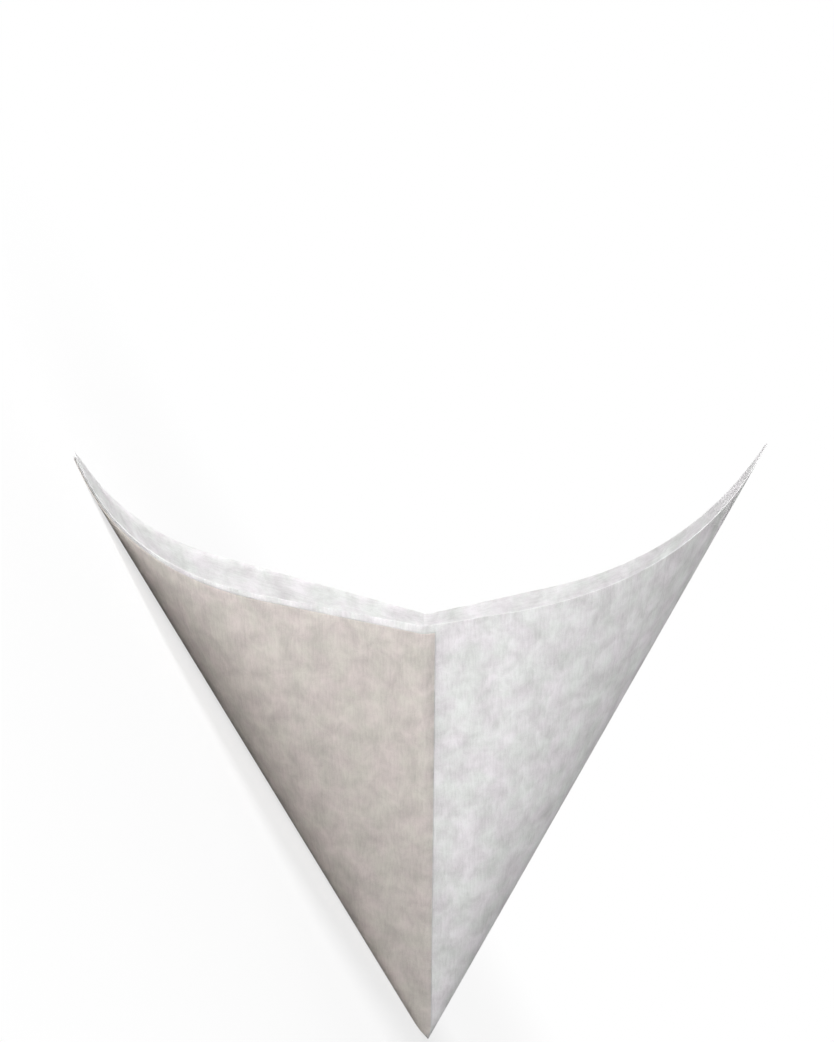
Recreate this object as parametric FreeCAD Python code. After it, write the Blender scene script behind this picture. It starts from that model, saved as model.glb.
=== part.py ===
import FreeCAD, Part
import math
import os

# Paper coffee filter: one square sheet, folded in half twice and opened to a cone.
# One layer of paper lies on the right of the cone and a Z of three on the left.
# The cone is drawn upright, with its point at the origin, its axis along Z and
# one crease at the front (minus Y). The placement then lays it on its heavy side.

doc = FreeCAD.newDocument("paper_coffee_filter")

# Driving sizes, in millimetres and degrees
sheet = doc.addObject("Spreadsheet::Sheet", "sizes")
SIZES = (
    ("sheet_side", 300.0, "side of the square sheet"),
    ("paper_thickness", 0.25, "thickness of the paper"),
    ("layer_gap", 0.15, "air between two layers of the Z fold"),
    ("fold_miss", 1.15, "how far the second fold misses the middle of the sheet"),
    ("fold_skew", 0.9, "angle by which the outer fold runs past the front crease"),
    ("fold_lap", 0.5, "how far it runs past the crease already at the point"),
    ("crease_radius", 0.3, "radius of the paper's middle where a crease bends it"),
    ("inner_fold_setback", 0.15, "inner fold's distance from the back crease"),
    ("crease_angle", 30.84, "from the axis to the front and the back crease"),
    ("left_front_strip", 18.1, "flat strip of the left side beside the front crease"),
    ("left_back_strip", 26.8, "flat strip of the left side beside the back crease"),
    ("left_swing", -1.42, "turn of the left tip about the axis"),
    ("right_front_strip", 9.5, "flat strip of the right side beside the front crease"),
    ("right_back_strip", 16.7, "flat strip of the right side beside the back crease"),
    ("right_swing", -0.4, "turn of the right tip about the axis"),
    ("resting_flat", 4.6, "angle of the flat at the left tip, on which the cone rests"),
    ("plug_bottom", 1.5, "height of the blunt end of the point"),
    ("plug_top", 4.5, "height to which the point is filled with paper"),
)
for row, (alias, value, meaning) in enumerate(SIZES, start=1):
    sheet.set(f"A{row}", meaning)
    sheet.set(f"B{row}", str(value))
    sheet.setAlias(f"B{row}", alias)
doc.recompute()


# How the faces are drawn, which leaves the shape as it is
FACE_SPLIT = 25.0  # height at which each long face is parted, so that its taper stays mild
TAPER_SHARE = 0.9  # 1 keeps a face's grid straight, 0 keeps its spacing even


def size(alias):
    """A length in millimetres from the sheet of sizes."""
    return float(sheet.get(alias))


def angle(alias):
    """An angle in radians from the sheet of sizes."""
    return math.radians(size(alias))


# The cone as a curve on the unit sphere
# Its arc length is the angle on the flat sheet, measured from the front crease.


def turned(vector, axis, radians):
    """The vector turned about the axis by the right-hand rule."""
    return FreeCAD.Rotation(axis, math.degrees(radians)).multVec(vector)


def march(point, heading, bend, length):
    """Follows a small circle of the given bend; a bend of 0 is a flat strip of the cone."""
    pole = point.cross(heading) + point * bend
    radians = length * pole.Length
    return turned(point, pole, radians), turned(heading, pole, radians)


class HalfPanel:
    """The paper from a crease to a side tip: a flat strip, a circular cone, perhaps a flat."""

    def __init__(self, crease, sense, strip, flat, length):
        self.crease, self.strip, self.flat, self.length = crease, strip, flat, length
        self.across = FreeCAD.Vector(sense, 0, 0)
        self.inward = FreeCAD.Vector(0, -crease.y * crease.z, crease.y * crease.y).normalize()
        self.kink, self.bend = 0.3, 2.0

    def at(self, travelled):
        """The generator's direction and the heading, that far from the crease."""
        heading = self.across * math.cos(self.kink) + self.inward * math.sin(self.kink)
        on_strip = min(travelled, self.strip)
        point, heading = march(self.crease, heading, 0.0, on_strip)
        on_cone = min(travelled, self.length - self.flat) - on_strip
        turn = math.copysign(self.bend, point.cross(heading).z)
        point, heading = march(point, heading, turn, on_cone)
        return march(point, heading, 0.0, travelled - on_strip - on_cone)


class Side:
    """One side of the cone, from the front crease by the side tip to the back crease."""

    def __init__(self, name, sense, creases, length, flat):
        self.sense, self.length, self.half = sense, length, length / 2
        self.swing = angle(f"{name}_swing")
        self.front, self.back = (
            HalfPanel(crease, sense, angle(f"{name}_{end}_strip"), flat / 2, self.half)
            for crease, end in zip(creases, ("front", "back"))
        )
        self.meet()

    def misses(self):
        """How far the two halves are from one smooth side, with its tip at the swing."""
        point, heading = self.front.at(self.half)
        other, other_heading = self.back.at(self.half)
        return (
            point.x - other.x,
            point.y - other.y,
            heading.dot(other.cross(other_heading)),
            point.x * self.sense * math.sin(self.swing) - point.y * math.cos(self.swing),
        )

    def meet(self):
        """Newton's method for the creases' kinks and the cones' bends that close the side."""
        unknowns = [(half, word) for half in (self.front, self.back) for word in ("kink", "bend")]
        step = 1e-6
        for _ in range(40):
            now = self.misses()
            slopes = []
            for half, word in unknowns:
                value = getattr(half, word)
                setattr(half, word, value + step)
                slopes.append([(b - a) / step for a, b in zip(now, self.misses())])
                setattr(half, word, value)
            rows = zip(*slopes)
            inverse = FreeCAD.Matrix(*(entry for row in rows for entry in row)).inverse().A
            moves = [-sum(inverse[4 * i + j] * now[j] for j in range(4)) for i in range(4)]
            longest = max(abs(move) for move in moves)
            for (half, word), move in zip(unknowns, moves):
                setattr(half, word, getattr(half, word) + move * min(1.0, 0.3 / longest))
            if longest < 1e-9:
                return

    def generator(self, theta):
        """Direction, front-to-back heading and outward normal at this angle from the front."""
        if theta < self.half:
            point, heading = self.front.at(theta)
        else:
            point, heading = self.back.at(self.length - theta)
            heading = heading * -1
        return point, heading, heading.cross(point) * self.sense

    def joints(self):
        """The angles at which flats, cones and strips meet, from the front crease on."""
        angles = [
            self.front.strip,
            self.half - self.front.flat,
            self.half + self.back.flat,
            self.length - self.back.strip,
        ]
        return sorted(set(angles))


# Sizes that follow from the driving ones
half_side = size("sheet_side") / 2
thickness = size("paper_thickness")
pitch = thickness + size("layer_gap")
fold_skew = angle("fold_skew")
inner_reach = half_side + size("fold_miss")
outer_reach = half_side - size("fold_miss")
sector = math.pi / 2 - fold_skew / 2
crease_lean = angle("crease_angle")
front_crease = FreeCAD.Vector(0, -math.sin(crease_lean), math.cos(crease_lean))
back_crease = FreeCAD.Vector(0, math.sin(crease_lean), math.cos(crease_lean))
creases = (front_crease, back_crease)
left = Side("left", -1.0, creases, sector, angle("resting_flat"))
right = Side("right", 1.0, creases, sector, 0.0)


def rim_of(reach, theta):
    """Distance from the point to the sheet's edge; theta is measured from the front fold."""
    corner = math.atan2(half_side, reach)
    if theta < corner:
        return reach / math.cos(theta)
    return half_side / math.sin(theta)


# The folded sheet as a closed row of stations
# A station is a straight line of the paper: where it starts, its direction, the side
# that the row keeps on its outside, and how far up the line the sheet's edge lies.


class Station:
    """One straight line of the sheet's middle, from the point to the rim."""

    def __init__(self, start, direction, outside, reach):
        self.start, self.direction = start, direction
        self.outside, self.reach = outside, reach

    def rim(self, side):
        """The point at the sheet's edge on one face of the paper."""
        return self.foot(side) + self.direction * self.reach

    def foot(self, side):
        """Where the line starts on one face of the paper."""
        return self.start + self.outside * (side * thickness / 2)

    def at_height(self, side, height):
        """The point of the line at this height above the cone's point."""
        foot = self.foot(side)
        return foot + self.direction * ((height - foot.z) / self.direction.z)


def arc_stations(centre, radius, direction, first, last, outward, reach, count=5):
    """Stations round a bend, which turns from one normal to another.

    outward is 1 where the row's outside is the outside of the bend, and minus 1 where it isn't.
    """
    turn = first.getAngle(last)
    axis = first.cross(last)
    stations = []
    for step in range(count):
        normal = turned(first, axis, turn * step / (count - 1))
        stations.append(Station(centre + normal * radius, direction, normal * outward, reach))
    return stations


class Crease:
    """The bend at the front or the back, round which the layers lie one on another."""

    def __init__(self, direction, side_in, side_out, theta_in, theta_out):
        self.direction = direction
        self.normal_in = side_in.generator(theta_in)[2]
        self.normal_out = side_out.generator(theta_out)[2]
        bisector = self.normal_in + self.normal_out
        spread = self.normal_in.getAngle(self.normal_out) / 2
        distance = size("crease_radius") / math.cos(spread) / bisector.Length
        self.centre = bisector * -distance

    def bend(self, level, reach):
        """Stations from the incoming to the outgoing side, at a layer's level."""
        radius = size("crease_radius") + level
        return arc_stations(
            self.centre, radius, self.direction, self.normal_in, self.normal_out, 1.0, reach
        )


front = Crease(front_crease, left, right, 0.0, 0.0)
back = Crease(back_crease, right, left, sector, sector)


def panel(side, level_at, reach, fold_angle, first, last):
    """Runs of stations along one side, in the order from the first crease to the last.

    level_at gives the middle's height over the cone at an angle from the front, and
    fold_angle is how far the sheet's front fold lies from the front crease.
    """
    corner = math.atan2(half_side, reach) - fold_angle
    knots = sorted(side.joints() + [corner])
    runs = []
    for start, end in zip(knots, knots[1:]):
        if end - start < 1e-6:
            continue
        count = 2 if straight(side, start, end) else 9
        run = []
        for step in range(count):
            theta = start + (end - start) * step / (count - 1)
            point, heading, normal = side.generator(theta)
            run.append(
                Station(
                    normal * level_at(theta), point, normal, rim_of(reach, theta + fold_angle)
                )
            )
        runs.append(run)
    return [[first, runs[0][0]]] + runs + [[runs[-1][-1], last]]


def straight(side, start, end):
    """Whether the side is flat between two angles."""
    middle = (start + end) / 2
    return side.half - side.front.flat < middle < side.half + side.back.flat


def walked_back(runs):
    """The same runs in the other direction."""
    return [list(reversed(run)) for run in reversed(runs)]


def turned_over(runs):
    """The same runs with the row's outside on the paper's other face."""
    return [[Station(s.start, s.direction, s.outside * -1, s.reach) for s in run] for run in runs]


def double_fold(centre, direction, first, across, outward, reach):
    """A fold of two layers, as two quarter turns that meet at its outermost line."""
    return [
        arc_stations(centre, pitch / 2, direction, first, across, outward, reach),
        arc_stations(centre, pitch / 2, direction, across, first * -1, outward, reach),
    ]


# Heights of the three layers on the left over the inner one, at the paper's middle
levels = [pitch * layer for layer in range(3)]


def right_level(theta):
    """The right side rises from the inner layer at the front to the outer at the back."""
    top = right.length - right.back.strip
    share = min(max((theta - right.half) / (top - right.half), 0.0), 1.0)
    return levels[2] * share * share * (3 - 2 * share)


# Bends of each layer round the creases
inner_bend = front.bend(levels[0], inner_reach)
middle_bend = front.bend(levels[1], rim_of(outer_reach, fold_skew))
outer_bend = front.bend(levels[2], rim_of(outer_reach, fold_skew))
back_bend = back.bend(levels[2], half_side)

# Fold of the two outer layers, past the front crease
across_right = right.generator(0.0)[1]
fold_line = front_crease * math.cos(fold_skew) + across_right * math.sin(fold_skew)
fold_centre = across_right * size("fold_lap") + front.normal_out * (levels[1] + levels[2]) / 2
fold_across = across_right * math.cos(fold_skew) - front_crease * math.sin(fold_skew)
outer_fold = double_fold(
    fold_centre, fold_line, front.normal_out, fold_across, 1.0, outer_reach
)
fold_end = outer_fold[-1][-1]

# Fold of the two inner layers, inside the back crease
towards_back = left.generator(sector)[1]
inner_centre = towards_back * -size("inner_fold_setback")
inner_centre += back.normal_out * (levels[0] + levels[1]) / 2
inner_fold = double_fold(
    inner_centre, back_crease, back.normal_out, towards_back, -1.0, half_side
)

# Runs of each layer
middle_first = Station(
    middle_bend[0].start, front_crease, middle_bend[0].outside, middle_bend[0].reach
)
middle_last = Station(
    inner_fold[0][0].start, back_crease, inner_fold[0][0].outside * -1, half_side
)
right_runs = panel(right, right_level, inner_reach, 0.0, inner_bend[-1], back_bend[0])
outer_runs = panel(
    left, lambda theta: levels[2], outer_reach, fold_skew, outer_bend[0], back_bend[-1]
)
middle_runs = panel(
    left, lambda theta: levels[1], outer_reach, fold_skew, middle_first, middle_last
)
inner_runs = panel(
    left, lambda theta: levels[0], inner_reach, 0.0, inner_bend[0], inner_fold[-1][-1]
)
under_lap = [
    middle_bend,
    [middle_bend[-1], Station(fold_end.start, fold_line, fold_end.outside * -1, outer_reach)],
]

# The whole row, from the front crease by the right side and through the Z on the left
row = [inner_bend] + right_runs + [back_bend]
row += walked_back(outer_runs) + [outer_bend, [outer_bend[-1], outer_fold[0][0]]]
row += outer_fold + walked_back(turned_over(under_lap)) + turned_over(middle_runs)
row += inner_fold + walked_back(inner_runs)


def curve_through(points):
    """A straight line, or one smooth curve through more than two points."""
    curve = Part.BSplineCurve()
    if len(points) == 2:
        curve.buildFromPoles(points, False, 1)
    else:
        curve.interpolate(Points=points, Parameters=[float(i) for i in range(len(points))])
    return curve


def ruled_face(low_points, high_points):
    """A face of straight lines between two like curves, and a true plane where it is flat.

    The weights make the lines narrow evenly towards the shorter curve, which keeps the
    face's own grid straight and so its triangles few.
    """
    if len(low_points) == 2:
        outline = Part.makePolygon(low_points + high_points[::-1] + low_points[:1])
        if outline.findPlane():
            return Part.Face(outline)
    low, high = curve_through(low_points), curve_through(high_points)
    taper = (low.length() / high.length()) ** TAPER_SHARE
    surface = Part.BSplineSurface()
    surface.buildFromPolesMultsKnots(
        [low.getPoles(), high.getPoles()],
        [2, 2],
        low.getMultiplicities(),
        [0.0, 1.0],
        low.getKnots(),
        False,
        False,
        1,
        low.Degree,
        [[1.0] * low.NbPoles, [taper] * high.NbPoles],
    )
    return surface.toShape()


def flat_face(runs_of_points):
    """The flat face inside a closed row of curves."""
    edges = [curve_through(points).toShape() for points in runs_of_points]
    return Part.Face(Part.Wire(Part.__sortEdges__(edges)))


def build_paper():
    """The folded sheet as one solid, with its point filled up to the plug's top."""
    faces, ends = [], {1: [], -1: []}
    feet = {1: size("plug_bottom"), -1: size("plug_top")}
    for run in row:
        rims = {side: [station.rim(side) for station in run] for side in feet}
        for side, foot in feet.items():
            low = [station.at_height(side, foot) for station in run]
            middle = [station.at_height(side, FACE_SPLIT) for station in run]
            ends[side].append(low)
            faces += [ruled_face(low, middle), ruled_face(middle, rims[side])]
        faces.append(ruled_face(rims[1], rims[-1]))
    faces += [flat_face(ends[side]) for side in feet]
    shell = Part.makeShell(faces)
    shell.sewShape()
    return Part.makeSolid(Part.Shell(shell.Faces))


def lying():
    """Lays the cone on the flat at its left tip, with its axis rising from the point."""
    generator, _, outward = left.generator(left.half)
    up = outward * -1
    turn = FreeCAD.Rotation(generator, up.cross(generator), up, "XZY").inverted()
    return FreeCAD.Placement(FreeCAD.Vector(0, 0, levels[2] + thickness / 2), turn)


def centred(shape):
    """The same placement, moved so that the origin is under the middle of the part."""
    box = shape.optimalBoundingBox()
    placement = shape.Placement
    placement.Base -= FreeCAD.Vector(box.Center.x, box.Center.y, 0)
    return placement


paper = doc.addObject("Part::Feature", "filter")
paper.Label = "filter"
paper.Shape = build_paper()
paper.Placement = lying()
paper.Placement = centred(paper.Shape)

doc.recompute()
os.makedirs("parts", exist_ok=True)
for item in doc.Objects:
    if "Invalid" in item.State or "Error" in item.State:
        raise RuntimeError(f"{item.Name} did not build")
if paper.Shape.isNull() or not paper.Shape.isValid():
    raise RuntimeError("filter has no valid shape")
paper.Shape.exportStep("parts/filter.step")
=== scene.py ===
"""Looks of a paper coffee filter: a square sheet folded in half twice and opened to a cone.

The sheet is laid out from the same folding sizes as the solid that it stands for. The cone
is worked out upright, with its point at the origin and a crease at the front (minus Y),
and then laid down on its heavy side, as the solid lies.
"""

import logging
import math
from dataclasses import dataclass, field, replace
from enum import Enum

import bpy
import numpy as np
from mathutils import Matrix, Vector

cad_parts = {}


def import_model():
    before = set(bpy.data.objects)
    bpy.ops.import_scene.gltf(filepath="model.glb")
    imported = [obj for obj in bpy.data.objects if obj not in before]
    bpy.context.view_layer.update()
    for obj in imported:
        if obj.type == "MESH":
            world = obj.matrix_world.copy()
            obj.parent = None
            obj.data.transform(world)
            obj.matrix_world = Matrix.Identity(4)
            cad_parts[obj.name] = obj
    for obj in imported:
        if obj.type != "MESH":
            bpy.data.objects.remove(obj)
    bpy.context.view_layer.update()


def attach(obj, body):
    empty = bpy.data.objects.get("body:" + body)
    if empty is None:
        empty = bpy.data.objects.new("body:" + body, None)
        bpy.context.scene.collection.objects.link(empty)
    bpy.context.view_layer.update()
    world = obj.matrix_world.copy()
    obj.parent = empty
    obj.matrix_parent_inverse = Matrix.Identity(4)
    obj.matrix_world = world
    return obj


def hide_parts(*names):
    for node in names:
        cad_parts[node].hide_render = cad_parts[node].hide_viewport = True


LOG = logging.getLogger("paper_coffee_filter")

# Sockets of the Mix node for colours, whose names its other sockets share.
MIX_FIRST, MIX_SECOND, MIX_RESULT = 6, 7, 2


class Layer(Enum):
    """Layers of the Z fold, from the inside of the cone outwards."""

    INNER = 0
    MIDDLE = 1
    OUTER = 2


class Lamp(Enum):
    """Soft boxes of the studio."""

    MOUTH = "mouth"
    FRONT = "front"
    REAR = "rear"


def turned(vector: np.ndarray, axis: np.ndarray, radians: float) -> np.ndarray:
    """Turns a vector about an axis by the right-hand rule.

    Args:
        vector: The vector.
        axis: The axis, of any length.
        radians: The angle.

    Returns:
        The turned vector.
    """
    pole = axis / np.linalg.norm(axis)
    along = pole * pole.dot(vector)
    across = np.cross(pole, vector)
    return along + (vector - along) * math.cos(radians) + across * math.sin(radians)


def angle_between(first: np.ndarray, second: np.ndarray) -> float:
    """The angle between two vectors in radians."""
    return math.atan2(float(np.linalg.norm(np.cross(first, second))), float(first.dot(second)))


def march(
    point: np.ndarray, heading: np.ndarray, bend: float, length: float
) -> tuple[np.ndarray, np.ndarray]:
    """Follows a small circle on the unit sphere.

    Args:
        point: Where the walk starts.
        heading: Its direction there.
        bend: 0 for a flat strip of the cone.
        length: How far it goes, in radians.

    Returns:
        The point and the heading at the end.
    """
    pole = np.cross(point, heading) + point * bend
    radians = length * float(np.linalg.norm(pole))
    return turned(point, pole, radians), turned(heading, pole, radians)


def eased(share: float) -> float:
    """A smooth step from 0 to 1."""
    held = min(max(share, 0.0), 1.0)
    return held * held * (3 - 2 * held)


@dataclass(frozen=True)
class FoldSizes:
    """Sizes of the folded sheet, in metres and degrees.

    All but the rounding of the sheet's corners are as in the solid.
    """

    sheet_side: float = 0.3
    paper_thickness: float = 0.00025
    layer_gap: float = 0.00015
    fold_miss: float = 0.00115
    fold_skew: float = 0.9
    fold_lap: float = 0.0005
    crease_angle: float = 30.84
    left_strips: tuple[float, float] = (18.1, 26.8)
    right_strips: tuple[float, float] = (9.5, 16.7)
    left_swing: float = -1.42
    right_swing: float = -0.4
    resting_flat: float = 4.6
    corner_radius: float = 0.0045

    @property
    def half_side(self) -> float:
        """Half the sheet's side."""
        return self.sheet_side / 2

    @property
    def pitch(self) -> float:
        """From the middle of one layer to the middle of the next."""
        return self.paper_thickness + self.layer_gap

    @property
    def inner_reach(self) -> float:
        """From the cone's point to the rim of the two inner layers at the front fold."""
        return self.half_side + self.fold_miss

    @property
    def outer_reach(self) -> float:
        """From the cone's point to the rim of the two outer layers at their fold."""
        return self.half_side - self.fold_miss

    def level(self, layer: Layer) -> float:
        """Height of a layer's middle over the inner one."""
        return self.pitch * layer.value

    def rim_of(self, reach: float, theta: float) -> float:
        """Distance from the point to the sheet's edge.

        Args:
            reach: The distance at the front fold.
            theta: The angle from that fold on the flat sheet.

        Returns:
            The distance in metres.
        """
        radius = self.corner_radius
        centre = (reach - radius, self.half_side - radius)
        along = centre[0] * math.cos(theta) + centre[1] * math.sin(theta)
        aside = centre[1] * math.cos(theta) - centre[0] * math.sin(theta)
        if abs(aside) < radius:
            rounded = along + math.sqrt(radius * radius - aside * aside)
            if rounded * math.cos(theta) > centre[0] and rounded * math.sin(theta) > centre[1]:
                return rounded
        if theta < math.atan2(self.half_side, reach):
            return reach / math.cos(theta)
        return self.half_side / math.sin(theta)


@dataclass
class HalfPanel:
    """The paper from a crease to a side tip: a flat strip, a circular cone, perhaps a flat.

    The kink at the crease and the cone's bend start as guesses, and the side corrects them.
    """

    crease: np.ndarray
    sense: float
    strip: float
    flat: float
    length: float
    kink: float = 0.3
    bend: float = 2.0

    def at(self, travelled: float) -> tuple[np.ndarray, np.ndarray]:
        """The straight line of the paper at an angle from the crease.

        Args:
            travelled: The angle on the flat sheet.

        Returns:
            The line's direction and the heading across it.
        """
        inward = np.array([0.0, -self.crease[1] * self.crease[2], self.crease[1] ** 2])
        inward /= np.linalg.norm(inward)
        across = np.array([self.sense, 0.0, 0.0])
        heading = across * math.cos(self.kink) + inward * math.sin(self.kink)
        on_strip = min(travelled, self.strip)
        point, heading = march(self.crease, heading, 0.0, on_strip)
        on_cone = min(travelled, self.length - self.flat) - on_strip
        turn = math.copysign(self.bend, float(np.cross(point, heading)[2]))
        point, heading = march(point, heading, turn, on_cone)
        return march(point, heading, 0.0, travelled - on_strip - on_cone)


@dataclass
class Side:
    """One side of the cone, from the front crease by the side tip to the back crease."""

    MOST_ROUNDS = 40
    NUDGE = 1e-6
    LONGEST_MOVE = 0.3
    NEAR_ENOUGH = 1e-9

    sense: float
    front: HalfPanel
    back: HalfPanel
    swing: float

    def __post_init__(self) -> None:
        """Closes the side, so that its two halves make one smooth surface."""
        self.half = self.front.length
        self.length = 2 * self.half
        unknowns = [(half, word) for half in (self.front, self.back) for word in ("kink", "bend")]
        for _ in range(self.MOST_ROUNDS):
            now = self.misses()
            slopes = np.zeros((4, 4))
            for column, (half, word) in enumerate(unknowns):
                value = getattr(half, word)
                setattr(half, word, value + self.NUDGE)
                slopes[:, column] = (self.misses() - now) / self.NUDGE
                setattr(half, word, value)
            moves = -np.linalg.solve(slopes, now)
            longest = float(np.abs(moves).max())
            share = min(1.0, self.LONGEST_MOVE / longest)
            for (half, word), move in zip(unknowns, moves):
                setattr(half, word, getattr(half, word) + float(move) * share)
            if longest < self.NEAR_ENOUGH:
                return

    def misses(self) -> np.ndarray:
        """How far the two halves are from one smooth side, with its tip at the swing."""
        point, heading = self.front.at(self.half)
        other, other_heading = self.back.at(self.half)
        tip = point[0] * self.sense * math.sin(self.swing) - point[1] * math.cos(self.swing)
        gap = point - other
        return np.array([gap[0], gap[1], heading.dot(np.cross(other, other_heading)), tip])

    def generator(self, theta: float) -> tuple[np.ndarray, np.ndarray, np.ndarray]:
        """The straight line of the paper at an angle from the front crease.

        Args:
            theta: The angle on the flat sheet.

        Returns:
            Its direction, the heading towards the back and the outward normal.
        """
        if theta < self.half:
            point, heading = self.front.at(theta)
        else:
            point, heading = self.back.at(self.length - theta)
            heading = -heading
        return point, heading, np.cross(heading, point) * self.sense


@dataclass(frozen=True)
class Station:
    """One straight line of the sheet's middle, from near the point to the rim.

    It carries painted shade where two more layers lie under it.
    """

    start: np.ndarray
    direction: np.ndarray
    reach: float
    painted_stack_shade: bool = False


@dataclass
class Cone:
    """The folded sheet as a closed row of straight lines."""

    SAME_PLACE = 5e-5

    sizes: FoldSizes = field(default_factory=FoldSizes)
    step: float = math.radians(1.25)
    tip_step: float = math.radians(0.2)
    tip_steps: int = 12
    bend_steps: int = 6
    crease_width: float = math.radians(0.55)
    fold_setback: float = math.radians(0.15)

    def __post_init__(self) -> None:
        """Works out the creases and the two sides."""
        lean = math.radians(self.sizes.crease_angle)
        self.front_crease = np.array([0.0, -math.sin(lean), math.cos(lean)])
        self.back_crease = np.array([0.0, math.sin(lean), math.cos(lean)])
        self.skew = math.radians(self.sizes.fold_skew)
        self.sector = math.pi / 2 - self.skew / 2
        self.left = self.side(
            -1.0, self.sizes.left_strips, self.sizes.left_swing, self.sizes.resting_flat
        )
        self.right = self.side(1.0, self.sizes.right_strips, self.sizes.right_swing, 0.0)

    def side(
        self, sense: float, strips: tuple[float, float], swing: float, flat: float
    ) -> Side:
        """One side of the cone.

        Args:
            sense: Minus 1 for the left, 1 for the right.
            strips: The flat strips at the front and the back, in degrees.
            swing: The tip's turn about the axis, in degrees.
            flat: The flat at the tip, in degrees.

        Returns:
            The side, closed.
        """
        creases = (self.front_crease, self.back_crease)
        halves = [
            HalfPanel(
                crease, sense, math.radians(strip), math.radians(flat) / 2, self.sector / 2
            )
            for crease, strip in zip(creases, strips)
        ]
        return Side(sense, halves[0], halves[1], math.radians(swing))

    def arc(
        self,
        centre: np.ndarray,
        radius: float,
        direction: np.ndarray,
        normals: tuple[np.ndarray, ...],
        reach: float,
    ) -> list[Station]:
        """Stations round a bend.

        Args:
            centre: A point of the bend's axis.
            radius: From there to the sheet's middle.
            direction: The straight lines' direction.
            normals: The sides that the bend turns through, in order.
            reach: How far the lines go.

        Returns:
            The stations, from the first normal to the last.
        """
        stations = []
        for first, last in zip(normals, normals[1:]):
            turn = angle_between(first, last)
            for index in range(self.bend_steps + 1):
                normal = turned(first, np.cross(first, last), turn * index / self.bend_steps)
                stations.append(Station(centre + normal * radius, direction, reach))
        return stations

    def crease_bend(
        self, sides: tuple[Side, Side], theta: float, layer: Layer, reach: float
    ) -> list[Station]:
        """The bend of one layer round the front or the back crease, wider towards the rim.

        Args:
            sides: The side that the bend comes from and the one that it goes to.
            theta: The crease's angle on both of them.
            layer: The layer that bends.
            reach: How far its lines go.

        Returns:
            The stations of the bend.
        """
        sense = 1.0 if theta > 0 else -1.0
        start = theta - sense * self.crease_width
        point, heading, normal = sides[0].generator(start)
        along = heading * sense
        onwards = sides[1].generator(start)[1] * -sense
        pole = np.cross(along, onwards)
        turn = angle_between(along, onwards) / self.bend_steps
        level = self.sizes.level(layer)
        return [
            Station(
                turned(normal, pole, turn * index) * level, turned(point, pole, turn * index), reach
            )
            for index in range(self.bend_steps + 1)
        ]

    def angles(self, side: Side, ends: tuple[float, float]) -> list[float]:
        """Angles from a side's front crease, close together near its tip.

        Args:
            side: The side.
            ends: Where they start and end.

        Returns:
            The angles, rising.
        """
        zone = self.tip_step * self.tip_steps
        near = [
            side.half + self.tip_step * index
            for index in range(-self.tip_steps, self.tip_steps + 1)
        ]
        count = round((ends[1] - ends[0]) / self.step)
        even = [ends[0] + (ends[1] - ends[0]) * index / count for index in range(count + 1)]
        wide = [angle for angle in even if abs(angle - side.half) > zone + self.tip_step]
        return sorted(wide + near)

    def panel(
        self,
        side: Side,
        layer: Layer | None,
        reach: float,
        lap: float,
        setback: float | None = None,
    ) -> list[Station]:
        """Stations along one side, from the front to the back.

        Args:
            side: The side.
            layer: The layer, or None for the right side, which climbs to the outer one.
            reach: The distance to the rim at the front fold.
            lap: How far that fold lies from the front crease.
            setback: How far from the back crease it stops, if not by the crease's width.

        Returns:
            The stations.
        """
        back = self.crease_width if setback is None else setback
        ends = (self.crease_width, side.length - back)
        stations = []
        for theta in self.angles(side, ends):
            point, _, normal = side.generator(theta)
            if layer is None:
                climb = side.half - side.back.strip
                height = self.sizes.level(Layer.OUTER) * eased((theta - side.half) / climb)
            else:
                height = self.sizes.level(layer)
            rim = self.sizes.rim_of(reach, theta + lap)
            stations.append(Station(normal * height, point, rim))
        return stations

    def outer_fold(self) -> list[Station]:
        """The fold of the two outer layers, a little past the front crease."""
        sizes = self.sizes
        _, across, normal = self.right.generator(0.0)
        direction = self.front_crease * math.cos(self.skew) + across * math.sin(self.skew)
        middle = (sizes.level(Layer.MIDDLE) + sizes.level(Layer.OUTER)) / 2
        past = across * math.cos(self.skew) - self.front_crease * math.sin(self.skew)
        return self.arc(
            across * sizes.fold_lap + normal * middle,
            sizes.pitch / 2,
            direction,
            (normal, past, -normal),
            sizes.outer_reach,
        )

    def inner_fold(self) -> list[Station]:
        """The fold of the two inner layers, just inside the back crease."""
        sizes = self.sizes
        direction, across, normal = self.left.generator(self.sector - self.fold_setback)
        middle = (sizes.level(Layer.INNER) + sizes.level(Layer.MIDDLE)) / 2
        return self.arc(
            normal * middle,
            sizes.pitch / 2,
            direction,
            (normal, across, -normal),
            sizes.half_side,
        )

    def stations(self) -> list[Station]:
        """The whole row, from the front crease by the right side and through the Z."""
        sizes, left, right = self.sizes, self.left, self.right
        inner, outer = sizes.inner_reach, sizes.outer_reach
        lapped = sizes.rim_of(outer, self.skew)
        row = self.crease_bend((left, right), 0.0, Layer.INNER, inner)
        row += self.panel(right, None, inner, 0.0)
        row += self.crease_bend((right, left), self.sector, Layer.OUTER, sizes.half_side)
        outermost = list(reversed(self.panel(left, Layer.OUTER, outer, self.skew)))
        outermost += self.crease_bend((left, right), 0.0, Layer.OUTER, lapped)
        fold = self.outer_fold()
        # The outermost quarter, over two more layers, carries painted shade.
        row += [replace(station, painted_stack_shade=True) for station in [*outermost, fold[0]]]
        row += fold
        row += reversed(self.crease_bend((left, right), 0.0, Layer.MIDDLE, lapped))
        row += self.panel(left, Layer.MIDDLE, outer, self.skew, self.fold_setback)
        row += reversed(self.inner_fold())
        row += reversed(self.panel(left, Layer.INNER, inner, 0.0, self.fold_setback))
        return without_repeats(row, self.SAME_PLACE)

    def lying(self) -> np.ndarray:
        """The turn that lays the cone on the flat at its left tip.

        Returns:
            A matrix of three rows: the resting line, across it and up.
        """
        line, _, outward = self.left.generator(self.left.half)
        return np.array([line, np.cross(-outward, line), -outward])


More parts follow.
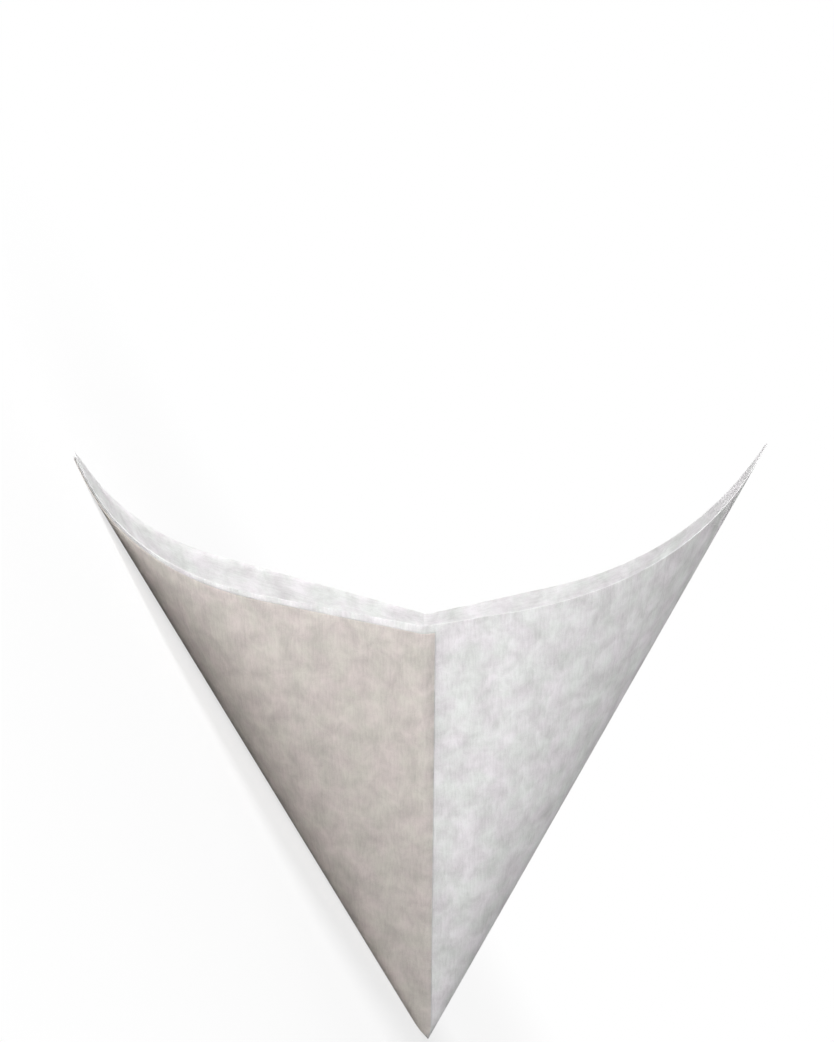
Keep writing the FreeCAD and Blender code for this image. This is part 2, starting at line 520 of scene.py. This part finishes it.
def without_repeats(row: list[Station], same_place: float) -> list[Station]:
    """The row without stations that repeat the one before.

    Args:
        row: The stations, whose last is followed by the first.
        same_place: How near two rims are that count as one.

    Returns:
        The stations that are further apart at their rim.
    """
    kept = []
    before = row[-1]
    for station in row:
        rim = station.start + station.direction * station.reach
        rim_before = before.start + before.direction * before.reach
        if float(np.linalg.norm(rim - rim_before)) > same_place:
            kept.append(station)
            before = station
    return kept


@dataclass(frozen=True)
class Mottle:
    """A noise: how fine it is, its finer octaves, their strength and how far it is pulled."""

    scale: float
    detail: float
    rough: float
    warp: float = 0.0


@dataclass(frozen=True)
class BondedPaper:
    """Bonded filter paper: pale and cloudy, with fine fibres mostly along the sheet."""

    name: str = "paper"
    pale: tuple[float, float, float] = (0.985, 0.987, 0.993)
    dull: tuple[float, float, float] = (0.675, 0.671, 0.671)
    span: tuple[float, float] = (0.27, 0.6)
    rosy: tuple[float, float, float] = (1.0, 0.978, 0.99)
    mossy: tuple[float, float, float] = (0.978, 0.99, 0.972)
    # Painted shade: a darker, warmer colour multiplied onto the quarter over two more layers.
    painted_stack_shade: tuple[float, float, float] = (0.985, 0.941, 0.9)
    tint_span: tuple[float, float] = (0.38, 0.62)
    roughness: float = 0.92
    see_through: float = 0.45
    clouds: Mottle = Mottle(40.0, 6.0, 0.66, 0.35)
    fibres: Mottle = Mottle(430.0, 3.0, 0.6)
    grain: Mottle = Mottle(900.0, 2.0, 0.5)
    tints: Mottle = Mottle(34.0, 4.0, 0.6, 0.2)
    fibre_stretch: tuple[float, float, float] = (0.16, 1.0, 1.0)
    grain_share: float = 0.4
    fine_share: float = 0.42
    relief_strength: float = 0.15
    relief_depth: float = 0.0002

    def material(self) -> bpy.types.Material:
        """Builds the finish on the sheet's own flat coordinates.

        Returns:
            The material.
        """
        material = bpy.data.materials.new(self.name)
        material.use_nodes = True
        tree = material.node_tree
        nodes, links = tree.nodes, tree.links
        nodes.clear()
        flat = nodes.new("ShaderNodeUVMap")
        flat.uv_map = FilterPaper.FLAT_MAP
        place = flat.outputs["UV"]
        clouds = self.noise(tree, place, self.clouds)
        fibres = self.noise(tree, self.stretched(tree, place), self.fibres)
        grain = self.noise(tree, place, self.grain)
        fine = self.blend(tree, fibres, grain, self.grain_share)
        formation = self.blend(tree, clouds, fine, self.fine_share)
        shades = self.ramp(tree, formation, self.span, (self.dull, self.pale))
        tints = self.noise(tree, place, self.tints)
        toning = self.ramp(tree, tints, self.tint_span, (self.mossy, self.rosy))
        # The mottled colour times the painted shade of the quarter over two more layers.
        colour = self.times(tree, self.times(tree, shades, toning), self.painted_shade_tone(tree))

        relief = nodes.new("ShaderNodeBump")
        relief.inputs["Strength"].default_value = self.relief_strength
        relief.inputs["Distance"].default_value = self.relief_depth
        links.new(clouds, relief.inputs["Height"])

        face = nodes.new("ShaderNodeBsdfPrincipled")
        face.inputs["Roughness"].default_value = self.roughness
        links.new(colour, face.inputs["Base Color"])
        links.new(relief.outputs["Normal"], face.inputs["Normal"])
        through = nodes.new("ShaderNodeBsdfTranslucent")
        links.new(colour, through.inputs["Color"])
        mixed = nodes.new("ShaderNodeMixShader")
        mixed.inputs["Fac"].default_value = self.see_through
        links.new(face.outputs["BSDF"], mixed.inputs[1])
        links.new(through.outputs["BSDF"], mixed.inputs[2])
        output = nodes.new("ShaderNodeOutputMaterial")
        links.new(mixed.outputs["Shader"], output.inputs["Surface"])
        return material

    def noise(
        self, tree: bpy.types.NodeTree, place: bpy.types.NodeSocket, mottle: Mottle
    ) -> bpy.types.NodeSocket:
        """A noise over the sheet.

        Args:
            tree: The material's nodes.
            place: The coordinates that it reads.
            mottle: Its measures.

        Returns:
            Its value.
        """
        node = tree.nodes.new("ShaderNodeTexNoise")
        node.inputs["Scale"].default_value = mottle.scale
        node.inputs["Detail"].default_value = mottle.detail
        node.inputs["Roughness"].default_value = mottle.rough
        node.inputs["Distortion"].default_value = mottle.warp
        tree.links.new(place, node.inputs["Vector"])
        return node.outputs["Fac"]

    def ramp(
        self,
        tree: bpy.types.NodeTree,
        value: bpy.types.NodeSocket,
        span: tuple[float, float],
        colours: tuple[tuple[float, float, float], tuple[float, float, float]],
    ) -> bpy.types.NodeSocket:
        """A value turned into a colour between two.

        Args:
            tree: The material's nodes.
            value: The value.
            span: Where the first colour ends and the second one starts.
            colours: The two colours.

        Returns:
            The colour.
        """
        node = tree.nodes.new("ShaderNodeValToRGB")
        for element, position, colour in zip(node.color_ramp.elements, span, colours):
            element.position = position
            element.color = (*colour, 1.0)
        tree.links.new(value, node.inputs["Fac"])
        return node.outputs["Color"]

    def stretched(
        self, tree: bpy.types.NodeTree, place: bpy.types.NodeSocket
    ) -> bpy.types.NodeSocket:
        """The coordinates drawn out along the sheet, for its fibres.

        Args:
            tree: The material's nodes.
            place: The coordinates.

        Returns:
            The new coordinates.
        """
        along = tree.nodes.new("ShaderNodeMapping")
        along.inputs["Scale"].default_value = self.fibre_stretch
        tree.links.new(place, along.inputs["Vector"])
        return along.outputs["Vector"]

    def blend(
        self,
        tree: bpy.types.NodeTree,
        first: bpy.types.NodeSocket,
        second: bpy.types.NodeSocket,
        share: float,
    ) -> bpy.types.NodeSocket:
        """Mixes two values.

        Args:
            tree: The material's nodes.
            first: The one value.
            second: The other.
            share: The second one's share.

        Returns:
            The mixed value.
        """
        node = tree.nodes.new("ShaderNodeMix")
        node.data_type = "FLOAT"
        node.inputs["Factor"].default_value = share
        tree.links.new(first, node.inputs["A"])
        tree.links.new(second, node.inputs["B"])
        return node.outputs["Result"]

    def times(
        self,
        tree: bpy.types.NodeTree,
        first: bpy.types.NodeSocket,
        second: bpy.types.NodeSocket,
    ) -> bpy.types.NodeSocket:
        """Multiplies two colours.

        Args:
            tree: The material's nodes.
            first: The one colour.
            second: The other.

        Returns:
            Their product.
        """
        node = tree.nodes.new("ShaderNodeMix")
        node.data_type = "RGBA"
        node.blend_type = "MULTIPLY"
        node.inputs["Factor"].default_value = 1.0
        tree.links.new(first, node.inputs[MIX_FIRST])
        tree.links.new(second, node.inputs[MIX_SECOND])
        return node.outputs[MIX_RESULT]

    def painted_shade_tone(self, tree: bpy.types.NodeTree) -> bpy.types.NodeSocket:
        """Painted shade: a darker, warmer tone on the quarter that lies over two more layers, for
        the light that the stack lets through less.

        Args:
            tree: The material's nodes.

        Returns:
            A colour to multiply with.
        """
        over = tree.nodes.new("ShaderNodeAttribute")
        over.attribute_name = FilterPaper.PAINTED_SHADE_MASK
        painted_shade = tree.nodes.new("ShaderNodeMix")
        painted_shade.data_type = "RGBA"
        painted_shade.inputs[MIX_FIRST].default_value = (1.0, 1.0, 1.0, 1.0)
        painted_shade.inputs[MIX_SECOND].default_value = (*self.painted_stack_shade, 1.0)
        tree.links.new(over.outputs["Fac"], painted_shade.inputs["Factor"])
        return painted_shade.outputs[MIX_RESULT]


@dataclass
class FilterPaper:
    """The filter: one sheet, modelled on a flat grid that is then folded to the cone."""

    FLAT_MAP = "flat_sheet"
    # Name of the mask of painted shade on the quarter over two more layers.
    PAINTED_SHADE_MASK = "painted_stack_shade"
    SMOOTH_BELOW = math.radians(50)
    SAME_POINT = 1e-7
    GAUGE_REACH = 0.1

    cone: Cone
    finish: BondedPaper = field(default_factory=BondedPaper)
    rows: int = 64
    merging_height: float = 0.0045
    point: tuple[float, float, float] = (-0.106783, 0.001966, 0.000925)

    def build(self) -> bpy.types.Object:
        """Models the sheet and gives it its thickness and finish.

        Returns:
            The finished piece.
        """
        stations = self.cone.stations()
        bpy.ops.object.select_all(action="DESELECT")
        bpy.ops.mesh.primitive_grid_add(
            x_subdivisions=len(stations), y_subdivisions=self.rows, size=1.0, calc_uvs=True
        )
        paper = bpy.context.object
        paper.name = "filter_paper"
        self.fold(paper, stations)
        self.close()
        self.thicken(paper)
        paper.data.materials.append(self.finish.material())
        bpy.ops.object.shade_smooth_by_angle(angle=self.SMOOTH_BELOW)
        return paper

    def fold(self, paper: bpy.types.Object, stations: list[Station]) -> None:
        """Moves the grid's points from the flat grid to the lying cone.

        Args:
            paper: The grid.
            stations: The row that its columns follow.
        """
        mesh = paper.data
        count = len(stations)
        places = np.array([vertex.co[:] for vertex in mesh.vertices])
        columns = np.rint((places[:, 0] + 0.5) * count).astype(int) % count
        rising = np.clip(places[:, 1] + 0.5, 0.0, 1.0)
        starts = np.array([station.start for station in stations])
        directions = np.array([station.direction for station in stations])
        reaches = np.array([station.reach for station in stations])
        distance = reaches[columns] * rising
        merging = np.clip(distance / self.merging_height, 0.0, 1.0)[:, None]
        upright = starts[columns] * merging + directions[columns] * distance[:, None]
        placed = upright @ self.cone.lying().T + np.array(self.point)
        mesh.vertices.foreach_set("co", placed.ravel())
        # Marks where the painted shade goes: the columns of the quarter over two more layers.
        painted_stack_shade = np.array([float(station.painted_stack_shade) for station in stations])
        painted_shade = mesh.attributes.new(self.PAINTED_SHADE_MASK, "FLOAT", "POINT")
        painted_shade.data.foreach_set("value", painted_stack_shade[columns])
        self.lay_out(mesh, stations, rising)
        mesh.update()

    def lay_out(
        self, mesh: bpy.types.Mesh, stations: list[Station], rising: np.ndarray
    ) -> None:
        """Gives each corner its place on the flat sheet, from 0 to 1 each way.

        Args:
            mesh: The grid's mesh.
            stations: The row that its columns follow.
            rising: Each point's share of the way to the rim.
        """
        gauges = np.array(
            [station.start + station.direction * self.GAUGE_REACH for station in stations]
        )
        gaps = np.linalg.norm(np.roll(gauges, -1, axis=0) - gauges, axis=1)
        turns = np.concatenate([[0.0], np.cumsum(gaps)]) / gaps.sum() * 2 * math.pi
        count = len(stations)
        layer = mesh.uv_layers[0]
        layer.name = self.FLAT_MAP
        corners = np.zeros(len(mesh.loops) * 2)
        layer.data.foreach_get("uv", corners)
        columns = np.rint(corners[0::2] * count).astype(int)
        points = np.zeros(len(mesh.loops), dtype=np.int64)
        mesh.loops.foreach_get("vertex_index", points)
        reaches = np.array([station.reach for station in stations])[columns % count]
        distance = reaches * rising[points] / self.cone.sizes.sheet_side
        corners[0::2] = 0.5 + distance * np.cos(turns[columns])
        corners[1::2] = 0.5 + distance * np.sin(turns[columns])
        layer.data.foreach_set("uv", corners)

    def close(self) -> None:
        """Joins the row's end to its start, and closes the selected sheet at its point."""
        bpy.ops.object.mode_set(mode="EDIT")
        bpy.ops.mesh.select_all(action="SELECT")
        bpy.ops.mesh.remove_doubles(threshold=self.SAME_POINT)
        bpy.ops.mesh.normals_make_consistent(inside=False)
        bpy.ops.object.mode_set(mode="OBJECT")

    def thicken(self, paper: bpy.types.Object) -> None:
        """Gives the sheet its thickness, half to each side.

        Args:
            paper: The closed sheet.
        """
        solid = paper.modifiers.new("thickness", "SOLIDIFY")
        solid.thickness = self.cone.sizes.paper_thickness
        solid.offset = 0.0
        bpy.ops.object.modifier_apply(modifier=solid.name)


@dataclass(frozen=True)
class SoftBox:
    """A square lamp: its place, its side in metres and its power in watts."""

    place: tuple[float, float, float]
    side: float
    power: float


def soft_boxes() -> dict[Lamp, SoftBox]:
    """The studio's soft boxes."""
    return {
        Lamp.FRONT: SoftBox((0.3, 1.8, 0.6), 1.0, 23.0),
        Lamp.MOUTH: SoftBox((0.9, 0.0, 1.3), 0.8, 18.6),
        Lamp.REAR: SoftBox((0.9, -1.3, 0.5), 0.8, 9.0),
    }


@dataclass
class Studio:
    """A pale floor, soft boxes and the camera.

    The camera's stand is in the frame of the upright cone, and its angles are in degrees.
    """

    cone: Cone
    point: tuple[float, float, float]
    boxes: dict[Lamp, SoftBox] = field(default_factory=soft_boxes)
    lens: float = 106.57
    sensor: float = 36.0
    sees_to: float = 50.0
    stand: tuple[float, float, float] = (0.0, -0.95124, 0.15965)
    yaw: float = -0.1155
    roll: float = -0.5235
    floor_side: float = 12.0
    floor_colour: tuple[float, float, float] = (0.92, 0.92, 0.92)
    white_share: float = 0.7
    white_from: float = 0.15
    white_at: float = 0.7
    sky: float = 0.09
    horizon: float = 0.36
    horizon_top: tuple[float, float] = (0.1, 0.5)
    middle: tuple[float, float, float] = (0.0, 0.0, 0.08)

    def build(self) -> None:
        """Sets up the floor, the light and the camera."""
        self.lay_floor()
        self.light()
        self.fill()
        self.aim()

    def lay_floor(self) -> None:
        """A pale floor that keeps the shadow, and that the camera sees as white further off."""
        bpy.ops.object.select_all(action="DESELECT")
        bpy.ops.mesh.primitive_plane_add(size=self.floor_side)
        floor = bpy.context.object
        floor.name = "floor"
        material = bpy.data.materials.new("floor")
        material.use_nodes = True
        nodes, links = material.node_tree.nodes, material.node_tree.links
        nodes.clear()
        matt = nodes.new("ShaderNodeBsdfDiffuse")
        matt.inputs["Color"].default_value = (*self.floor_colour, 1.0)
        white = nodes.new("ShaderNodeEmission")
        white.inputs["Color"].default_value = (1.0, 1.0, 1.0, 1.0)
        white.inputs["Strength"].default_value = 1.0

        place = nodes.new("ShaderNodeTexCoord")
        away = nodes.new("ShaderNodeVectorMath")
        away.operation = "LENGTH"
        links.new(place.outputs["Object"], away.inputs[0])
        fade = nodes.new("ShaderNodeMapRange")
        fade.interpolation_type = "SMOOTHSTEP"
        fade.inputs["From Min"].default_value = self.white_from
        fade.inputs["From Max"].default_value = self.white_at
        fade.inputs["To Min"].default_value = self.white_share
        links.new(away.outputs["Value"], fade.inputs["Value"])
        path = nodes.new("ShaderNodeLightPath")
        seen = nodes.new("ShaderNodeMath")
        seen.operation = "MULTIPLY"
        links.new(path.outputs["Is Camera Ray"], seen.inputs[0])
        links.new(fade.outputs["Result"], seen.inputs[1])
        both = nodes.new("ShaderNodeMixShader")
        links.new(seen.outputs["Value"], both.inputs["Fac"])
        links.new(matt.outputs["BSDF"], both.inputs[1])
        links.new(white.outputs["Emission"], both.inputs[2])
        output = nodes.new("ShaderNodeOutputMaterial")
        links.new(both.outputs["Shader"], output.inputs["Surface"])
        floor.data.materials.append(material)

    def light(self) -> None:
        """Hangs the soft boxes."""
        for lamp, box in self.boxes.items():
            data = bpy.data.lights.new(lamp.value, "AREA")
            data.shape = "SQUARE"
            data.size = box.side
            data.energy = box.power
            lamp_object = bpy.data.objects.new(lamp.value, data)
            bpy.context.scene.collection.objects.link(lamp_object)
            aim = Vector(self.middle) - Vector(box.place)
            lamp_object.location = box.place
            lamp_object.rotation_euler = aim.to_track_quat("-Z", "Y").to_euler()
            lamp_object.visible_camera = False

    def fill(self) -> None:
        """A white world, brighter round the horizon, which the camera sees as plain white."""
        world = bpy.data.worlds.new("studio")
        bpy.context.scene.world = world
        world.use_nodes = True
        nodes, links = world.node_tree.nodes, world.node_tree.links
        nodes.clear()
        place = nodes.new("ShaderNodeTexCoord")
        split = nodes.new("ShaderNodeSeparateXYZ")
        links.new(place.outputs["Generated"], split.inputs["Vector"])
        level = nodes.new("ShaderNodeMapRange")
        level.interpolation_type = "SMOOTHSTEP"
        level.inputs["From Min"].default_value = self.horizon_top[0]
        level.inputs["From Max"].default_value = self.horizon_top[1]
        level.inputs["To Min"].default_value = self.horizon
        level.inputs["To Max"].default_value = self.sky
        links.new(split.outputs["Z"], level.inputs["Value"])
        sky = nodes.new("ShaderNodeBackground")
        links.new(level.outputs["Result"], sky.inputs["Strength"])
        white = nodes.new("ShaderNodeBackground")
        white.inputs["Strength"].default_value = 1.0
        for background in (sky, white):
            background.inputs["Color"].default_value = (1.0, 1.0, 1.0, 1.0)
        path = nodes.new("ShaderNodeLightPath")
        seen = nodes.new("ShaderNodeMixShader")
        links.new(path.outputs["Is Camera Ray"], seen.inputs["Fac"])
        links.new(sky.outputs["Background"], seen.inputs[1])
        links.new(white.outputs["Background"], seen.inputs[2])
        output = nodes.new("ShaderNodeOutputWorld")
        links.new(seen.outputs["Shader"], output.inputs["Surface"])

    def aim(self) -> None:
        """Stands the camera where it sees the cone's axis upright in the picture."""
        yaw, roll = math.radians(self.yaw), math.radians(self.roll)
        forward = np.array([math.sin(yaw), math.cos(yaw), 0.0])
        level = np.array([math.cos(yaw), -math.sin(yaw), 0.0])
        upward = np.cross(level, forward)
        right = level * math.cos(roll) + upward * math.sin(roll)
        up = upward * math.cos(roll) - level * math.sin(roll)
        lying = self.cone.lying()
        axes = (lying @ right, lying @ up, -(lying @ forward))
        place = lying @ np.array(self.stand) + np.array(self.point)
        rows = [[*(float(axis[row]) for axis in axes), float(place[row])] for row in range(3)]
        matrix = Matrix([*rows, [0.0, 0.0, 0.0, 1.0]])
        data = bpy.data.cameras.new("camera")
        data.lens = self.lens
        data.sensor_width = self.sensor
        data.clip_end = self.sees_to
        camera = bpy.data.objects.new("camera", data)
        bpy.context.scene.collection.objects.link(camera)
        camera.matrix_world = matrix
        bpy.context.scene.camera = camera


def corners(bounds: tuple) -> list[list[float]]:
    """A box's two corners as plain lists of numbers."""
    return [[float(value) for value in corner] for corner in bounds]


def main() -> None:
    """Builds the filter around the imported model, and the studio around the filter."""
    logging.basicConfig(level=logging.INFO, format="%(name)s: %(message)s")
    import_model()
    bpy.context.scene.view_settings.view_transform = "Standard"

    cone = Cone()
    sheet = FilterPaper(cone)
    paper = sheet.build()
    LOG.info("%s: %d faces", paper.name, len(paper.data.polygons))
    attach(paper, "root")
    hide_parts("filter")

    Studio(cone, sheet.point).build()


if __name__ == "__main__":
    main()
